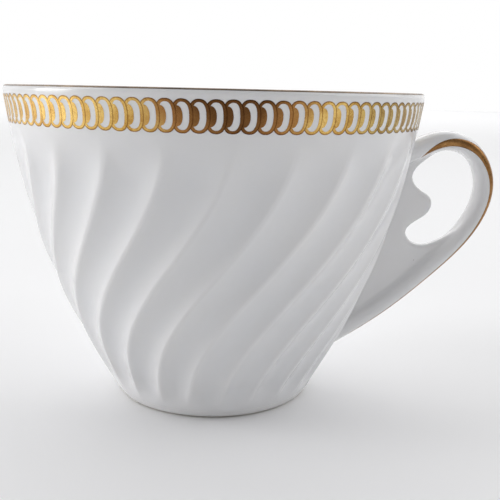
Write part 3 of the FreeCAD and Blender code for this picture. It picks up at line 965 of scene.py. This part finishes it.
def makeRingCell():
    # one ring as a flat thin piece in x and y, cut off half way to its neighbours, with its window
    power = border["squareness"]

    def top(x):
        return archHeight(x, ringPitch * border["ringWidth"] / 2, ringHalfHeight, power)

    def window(x):
        return archHeight(x, ringPitch * border["windowWidth"], ringHalfHeight * border["windowHeight"],
                          power)

    def disc(x):
        away = x - ringPitch * border["discShift"]
        return archHeight(away, ringPitch * border["discWidth"], ringHalfHeight * border["discHeight"], 2.2)

    left = -ringPitch * border["windowWidth"]
    while window(left) < disc(left) + 0.02 * mm:
        left += 0.005 * mm
    discRight = ringPitch * (border["discShift"] + border["discWidth"])
    right = ringPitch * border["windowWidth"]
    half = ringPitch / 2

    def eased(a, b, count, power=1.0):
        # columns that crowd towards b
        return [a + (b - a) * (1 - (1 - t) ** power) for t in np.linspace(0, 1, count)]

    tip = (window(left) + disc(left)) / 2
    sections = [
        # columns, then the edges of each strip of gold as functions of x, and its rows
        (eased(-half, left, 4), [
            (lambda x: -top(x), lambda x: -tip, 2), (lambda x: -tip, lambda x: tip, 4),
            (lambda x: tip, lambda x: top(x), 2)]),
        (eased(left, discRight, 10, 2.0), [
            (lambda x: -top(x), lambda x: -window(x) if x > left else -tip, 2),
            (lambda x: -disc(x) if x > left else -tip, lambda x: disc(x) if x > left else tip, 4),
            (lambda x: window(x) if x > left else tip, lambda x: top(x), 2)]),
        (eased(discRight, right, 10, 2.2), [
            (lambda x: -top(x), lambda x: -window(x), 2), (lambda x: window(x), lambda x: top(x), 2)]),
        (eased(right, half, 3), [
            (lambda x: -top(x), lambda x: 0.0, 2), (lambda x: 0.0, lambda x: top(x), 2)]),
    ]
    corners, flat, quads = {}, [], []

    def corner(x, y):
        key = (round(x * 1e7), round(y * 1e7))
        if key not in corners:
            corners[key] = len(flat)
            flat.append((x, y))
        return corners[key]

    for columns, strips in sections:
        for low, high, rows in strips:
            for x0, x1 in zip(columns, columns[1:]):
                for r in range(rows):
                    ring = []
                    for x, t in ((x0, r), (x1, r), (x1, r + 1), (x0, r + 1)):
                        t = t / rows
                        n = corner(x, low(x) * (1 - t) + high(x) * t)
                        if n not in ring:
                            ring.append(n)
                    if len(ring) > 2:
                        quads.append(ring)
    count = len(flat)
    edges = dict.fromkeys((a, b) for ring in quads for a, b in zip(ring, ring[1:] + ring[:1]))
    lift = border["lift"]
    points = [(x, y, lift) for x, y in flat] + [(x, y, -lift) for x, y in flat]
    faces = quads + [[n + count for n in ring[::-1]] for ring in quads]
    faces += [(a, a + count, b + count, b) for a, b in edges if (b, a) not in edges]
    return meshFrom("ringCell", points, faces, smooth=False)


def ringTree():
    tree, wires, given, out = geometryTree("layRings", ["Pitch", "Middle", "Wander", "Seed"], ["Rings"])
    m = wires.math
    row = wires.add("GeometryNodeMeshLine", {"Count": given["Rings"], "Offset": wires.join(given["Pitch"])})
    # keep each corner's place in its own ring, for the darker outlines in the gold
    cell = wires.keep(given["Geometry"], "ringPlace", wires.position(), "FLOAT_VECTOR")
    lay = wires.add("GeometryNodeInstanceOnPoints", {"Points": row.outputs[0], "Instance": cell})
    whole = wires.add("GeometryNodeRealizeInstances", {"Geometry": lay.outputs[0]})
    # roll the flat row up onto the wall
    x, y, lift = wires.split(wires.position())
    length = m("MULTIPLY", given["Rings"], given["Pitch"])
    angle = m("MULTIPLY", m("DIVIDE", x, length), 2 * math.pi)
    circle = wires.join(m("MULTIPLY", m("SINE", angle), rimRadius),
                        m("MULTIPLY", m("COSINE", angle), rimRadius), m("ADD", y, given["Seed"]))
    waver = wires.add("ShaderNodeTexNoise", {"Vector": circle, "Scale": border["waverSize"], "Detail": 1.5})
    sideways, upwards = (m("MULTIPLY", m("SUBTRACT", part, 0.5), given["Wander"])
                         for part in wires.split(waver.outputs["Color"])[:2])
    height = m("ADD", m("ADD", y, given["Middle"]), upwards)
    wall = wires.add("ShaderNodeFloatCurve", {"Value": m("DIVIDE", height, cupHeight)})
    curve = wall.mapping.curves[0]
    widest = rimRadius * 1.02
    heights = np.linspace(borderLow.z - 1.5 * mm, springLine, 9)
    places = [(float(h / cupHeight), float(wallRadius(h) / widest)) for h in heights]
    while len(curve.points) < len(places):
        curve.points.new(0.5, 0.5)
    for point, (px, py) in zip(curve.points, places):
        point.location = (px, py)
        point.handle_type = "AUTO"
    wall.mapping.use_clip = False
    wall.mapping.update()
    radius = m("ADD", m("MULTIPLY", wall.outputs[0], widest), lift)
    turned = m("ADD", angle, m("DIVIDE", sideways, rimRadius))
    moved = wires.move(whole.outputs[0], wires.aroundAxis(radius, turned, height))
    finishTree(wires, moved, given["Material"], out)
    return tree


def makeRingBorder():
    piece = newObject("ringBorder", makeRingCell())
    applyTree(piece, ringTree(), {
        "Rings": border["rings"], "Pitch": ringPitch, "Middle": (borderLow.z + borderHigh.z) / 2,
        "Wander": border["wander"], "Seed": border["seed"],
        "Material": burnishedGold("borderGold", variation=borderReflectionAndOutlines)})
    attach(piece, "root")
    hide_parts("gold_ring_border")
    print("ring border:", len(piece.data.polygons), "faces")


makeRingBorder()


studio = {
    "floorSize": 7.0,
    "floorDrop": 0.05 * mm,         # just clear of the foot
    "floor": (0.90, 0.90, 0.905),
    "floorFleck": (0.88, 0.88, 0.89),
    "skyBehind": (1.0, 1.0, 1.0),
    "skyRound": (0.35, 0.35, 0.355),
    "lights": [
        # name, degrees round from the camera's side towards +X, degrees up, watts, size
        ("window", -90, 12, 2.15, 0.35),
        ("window top", -90, 40, 0.88, 0.35),
        ("lamp", 90, 40, 2.1, 0.7)],
    "lightAway": 0.8,
    "lightsAim": (0.0, 0.0, 0.035),
    "ceiling": ((0.0, 3.0, 1.6), 4.5, 68.0),       # place, size and watts: lights the table far behind
}


def makeStudio():
    half = studio["floorSize"] / 2
    mesh = meshFrom("floor", [(-half, -half, 0), (half, -half, 0), (half, half, 0), (-half, half, 0)],
                    [(0, 1, 2, 3)])
    floor = newObject("floor", mesh)
    floor.location.z = -studio["floorDrop"]
    material, wires, shader, coords = newMaterial("paleTable")
    flecked = wires.smoothStep(noise(wires, coords, 9.0, 3.0), 0.3, 0.7, 0.0, 0.25)
    colour = mixColour(wires, "MIX", flecked, studio["floor"], studio["floorFleck"])
    wires.fill(shader, {"Base Color": colour, "Roughness": 0.75})
    mesh.materials.append(material)
    world = scene.world = bpy.data.worlds.new("studio")
    world.use_nodes = True
    wires = Nodes(world.node_tree)
    background = world.node_tree.nodes["Background"]
    x, y, z = wires.split(wires.add("ShaderNodeTexCoord").outputs["Generated"])
    behind = wires.smoothStep(y, -0.1, 0.55)
    low = wires.smoothStep(z, 0.2, 0.7, 1.0, 0.0)
    share = wires.math("MULTIPLY", behind, low)
    sky = mixColour(wires, "MIX", share, studio["skyRound"], studio["skyBehind"])
    wires.fill(background, {"Color": sky, "Strength": 1.0})
    aim = Vector(studio["lightsAim"])
    for name, around, up, watts, across in studio["lights"]:
        around, up = math.radians(around), math.radians(up)
        towards = Vector((math.sin(around) * math.cos(up), -math.cos(around) * math.cos(up), math.sin(up)))
        addLight(name, aim + towards * studio["lightAway"], aim, across, watts)
    place, across, watts = studio["ceiling"]
    addLight("ceiling", Vector(place), Vector(place) - Vector((0, 0, 1)), across, watts)


def addLight(name, place, aim, across, watts):
    light = bpy.data.lights.new(name, "AREA")
    light.shape = "SQUARE"
    light.size = across
    light.energy = watts
    lamp = newObject(name, light)
    lamp.location = place
    lamp.rotation_euler = (aim - place).to_track_quat("-Z", "Y").to_euler()


cameraPlace = {
    "from": (0.0, -0.165, 0.0659),
    "down": math.radians(11.92),
    "right": math.radians(2.79),
    "roll": math.radians(1.32),
    "lens": 53.75,
}


def makeCamera():
    down, right, roll = cameraPlace["down"], cameraPlace["right"], cameraPlace["roll"]
    level = Vector((math.sin(right), math.cos(right), 0))
    side = Vector((math.cos(right), -math.sin(right), 0))
    forward = level * math.cos(down) + Vector((0, 0, -math.sin(down)))
    up = level * math.sin(down) + Vector((0, 0, math.cos(down)))
    x = side * math.cos(roll) + up * math.sin(roll)
    y = -side * math.sin(roll) + up * math.cos(roll)
    camera = bpy.data.cameras.new("camera")
    camera.lens = cameraPlace["lens"]
    camera.sensor_width = 36
    camera.clip_start = 0.01
    piece = newObject("camera", camera)
    turn = Matrix((x, y, -forward)).transposed().to_4x4()
    piece.matrix_world = Matrix.Translation(cameraPlace["from"]) @ turn
    scene.camera = piece


makeStudio()
makeCamera()
scene.view_settings.view_transform = "Standard"
print("studio ready")
